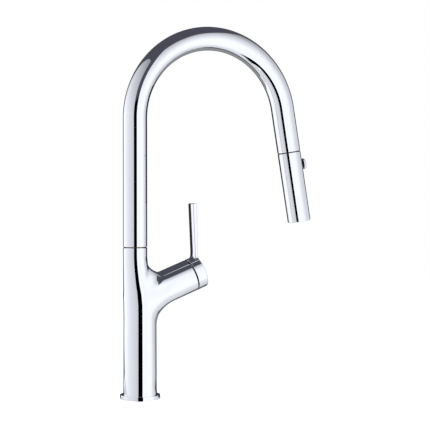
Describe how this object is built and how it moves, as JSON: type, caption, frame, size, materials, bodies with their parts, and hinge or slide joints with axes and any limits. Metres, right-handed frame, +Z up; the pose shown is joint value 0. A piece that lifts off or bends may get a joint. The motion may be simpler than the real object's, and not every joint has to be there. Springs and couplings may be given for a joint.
{
  "type": "pull down kitchen faucet",
  "caption": "Single-lever kitchen faucet with a high arched swivelling spout, a side branch holding the mixing handle, and a pull-down spray wand with a spray button.",
  "frame": {"origin": "centre of the base ring's underside, on the axis of the column, where the faucet stands on the deck", "axes": "+Z up along the column, +X the way the spout and the handle branch point, XZ the mirror plane"},
  "size_m": [0.245, 0.047, 0.4353],
  "materials": {
    "chrome_plate": "polished chrome plate",
    "black_rubber": "matt moulded rubber",
    "black_plastic": "fine moulded texture",
    "bearing_plastic": "moulded acetal",
    "grey_silicone": "soft moulded silicone",
    "brass": "machined brass",
    "spring_steel": "bright steel",
    "ceramic": "lapped alumina",
    "braided_hose": "tight nylon braid"
  },
  "bodies": {
    "body": {"base_ring": "chrome_plate", "base_gasket": "black_rubber", "body_casting": "chrome_plate", "mounting_plug": "brass", "hot_inlet_pipe": "brass", "cold_inlet_pipe": "brass", "mixed_outlet_pipe": "brass", "valve_housing": "brass", "cartridge_case": "bearing_plastic", "cartridge_port_seals": "black_rubber", "fixed_disc": "ceramic", "cartridge_nut": "brass", "bonnet_ring": "black_plastic", "neck_bush_lower": "bearing_plastic", "neck_bush_upper": "bearing_plastic", "slip_washer": "black_plastic"},
    "spout": {"spout_tube": "chrome_plate", "spout_stem": "brass", "neck_seals": "black_rubber", "stem_retaining_clip": "spring_steel", "dock_guide": "black_plastic", "spray_hose": "braided_hose"},
    "hose_end": {"hose_ferrule": "brass", "hose_lead": "braided_hose"},
    "wand": {"wand_shell": "chrome_plate", "wand_core": "bearing_plastic", "wand_collar": "black_plastic", "hose_washer": "black_rubber", "check_valve": "bearing_plastic", "spray_manifold": "bearing_plastic", "spray_plate": "grey_silicone", "aerator": "black_plastic", "button_bezel": "black_rubber", "button_spring": "spring_steel"},
    "button": {"spray_button": "chrome_plate", "button_plunger": "black_plastic", "diverter_spool": "brass"},
    "valve_carrier": {"cartridge_carrier": "bearing_plastic", "stem_pin": "spring_steel"},
    "handle": {"handle": "chrome_plate", "valve_stem": "brass", "handle_set_screw": "spring_steel", "screw_hole_plug": "chrome_plate"},
    "valve_disc": {"moving_disc": "ceramic"}
  },
  "joints": [
    {"name": "spout_swivel", "type": "hinge", "parent": "body", "child": "spout", "pos_m": [-0.006, 0, 0.17], "axis": [0, 0, 1], "continuous": true},
    {"name": "hose_pull", "type": "slide", "parent": "spout", "child": "hose_end", "axis": [0.1668, 0, -0.986], "range_m": [0, 0.18], "stiffness_N_per_m": 5, "springref_m": -0.9, "deforming": ["hose_lead"]},
    {"name": "wand_spin", "type": "hinge", "parent": "hose_end", "child": "wand", "pos_m": [0.19361, 0, 0.28846], "axis": [0.1668, 0, -0.986], "continuous": true},
    {"name": "button_press", "type": "slide", "parent": "wand", "child": "button", "axis": [-0.986, 0, -0.1668], "range_m": [0, 0.0018], "stiffness_N_per_m": 250, "springref_m": -0.002, "deforming": ["button_spring"]},
    {"name": "handle_turn", "type": "hinge", "parent": "body", "child": "valve_carrier", "pos_m": [0, 0, 0.1173], "axis": [0.9323, 0, 0.3616], "range_deg": [-45, 45]},
    {"name": "handle_tilt", "type": "hinge", "parent": "valve_carrier", "child": "handle", "pos_m": [0.0551, 0, 0.13867], "axis": [0, 1, 0], "range_deg": [0, 20]},
    {"name": "disc_slide", "type": "slide", "parent": "valve_carrier", "child": "valve_disc", "axis": [-0.3616, 0, 0.9323], "range_m": [0, 0.0032]}
  ],
  "couplings": [
    {"joint": "disc_slide", "follows": "handle_tilt", "m_per_rad": 0.0088}
  ]
}
